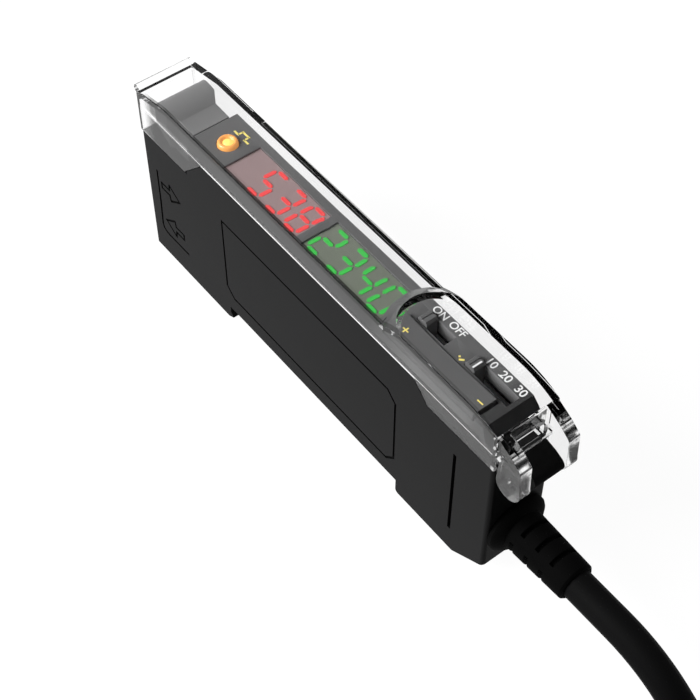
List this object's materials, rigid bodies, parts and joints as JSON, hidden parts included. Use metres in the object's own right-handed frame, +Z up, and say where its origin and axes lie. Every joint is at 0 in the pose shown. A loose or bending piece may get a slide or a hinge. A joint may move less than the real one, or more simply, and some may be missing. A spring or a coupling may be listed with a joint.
{
  "type": "fibre optic sensor amplifier",
  "caption": "Slim rail-mounted fibre optic amplifier with two digit displays, rocker and slide switches, clear hinged dust cover and a strain-relieved cable",
  "frame": {"origin": "middle of the unit's length and width, at the underside of its feet; the cable beyond the strain relief is left out", "axes": "+X from the fibre end to the cable end, +Y across the width to the flat side cover, +Z up from the feet"},
  "size_m": [0.1658, 0.0555, 0.0334],
  "materials": {
    "black_housing": "satin moulded black",
    "panel_grey": "satin dark grey",
    "red_tint": "tinted red, glossy",
    "smoke_tint": "smoked, glossy",
    "display_black": "matt black face",
    "red_light": "lit red bars",
    "green_light": "lit green bars",
    "amber": "amber lens",
    "button_black": "fine satin black",
    "steel": "bright wire and pin",
    "switch_grey": "plain grey",
    "board_green": "solder mask green",
    "chip_black": "matt black",
    "holder_grey": "plain dark grey",
    "lever_black": "satin charcoal",
    "clear_plastic": "clear polished polycarbonate",
    "rubber_black": "matt black overmould",
    "cable_black": "matt black jacket"
  },
  "bodies": {
    "amplifier": {"housing": "black_housing", "side_cover": "black_housing", "top_panel": "panel_grey", "red_window": "red_tint", "red_display": "display_black", "red_segments": "red_light", "green_window": "smoke_tint", "green_display": "display_black", "green_segments": "green_light", "output_lamp": "amber", "rocker_bracket": "black_housing", "tact_switches": "switch_grey", "mode_switch": "switch_grey", "output_switch": "switch_grey", "display_board": "board_green", "main_board": "board_green", "board_parts": "chip_black", "pin_header": "chip_black", "fibre_holder": "holder_grey", "emitter_led": "red_tint", "receiver_diode": "chip_black", "clamp_pin": "steel", "clip_spring": "steel", "strain_relief": "rubber_black", "cable": "cable_black", "cable_coil": "cable_black", "coil_tie": "rubber_black", "cable_leads": "cable_black"},
    "cover": {"dust_cover": "clear_plastic"},
    "lever": {"clamp_lever": "lever_black"},
    "rocker_carrier": {"rocker_pin": "steel"},
    "rocker": {"rocker_button": "button_black"},
    "mode_slider": {"mode_knob": "button_black"},
    "output_slider": {"output_knob": "button_black"},
    "clip": {"din_clip": "button_black"}
  },
  "joints": [
    {"name": "cover_hinge", "type": "hinge", "parent": "amplifier", "child": "cover", "pos_m": [0.0347, 0, 0.0246], "axis": [0, 1, 0], "range_deg": [0, 120]},
    {"name": "clamp_pivot", "type": "hinge", "parent": "amplifier", "child": "lever", "pos_m": [-0.03585, 0, 0.0212], "axis": [0, -1, 0], "range_deg": [0, 16]},
    {"name": "rocker_press", "type": "slide", "parent": "amplifier", "child": "rocker_carrier", "axis": [0, 0, -1], "range_m": [0, 0.0003], "stiffness_N_per_m": 200, "springref_m": -0.0003},
    {"name": "rocker_tilt", "type": "hinge", "parent": "rocker_carrier", "child": "rocker", "pos_m": [0.01845, -0.00175, 0.026], "axis": [0, 1, 0], "range_deg": [-3, 3], "stiffness_Nm_per_rad": 0.02},
    {"name": "mode_slide", "type": "slide", "parent": "amplifier", "child": "mode_slider", "axis": [1, 0, 0], "range_m": [0, 0.0058]},
    {"name": "output_slide", "type": "slide", "parent": "amplifier", "child": "output_slider", "axis": [1, 0, 0], "range_m": [0, 0.0033]},
    {"name": "din_clip_slide", "type": "slide", "parent": "amplifier", "child": "clip", "axis": [1, 0, 0], "range_m": [0, 0.0016], "stiffness_N_per_m": 500, "springref_m": -0.002, "deforming": ["clip_spring"]}
  ]
}
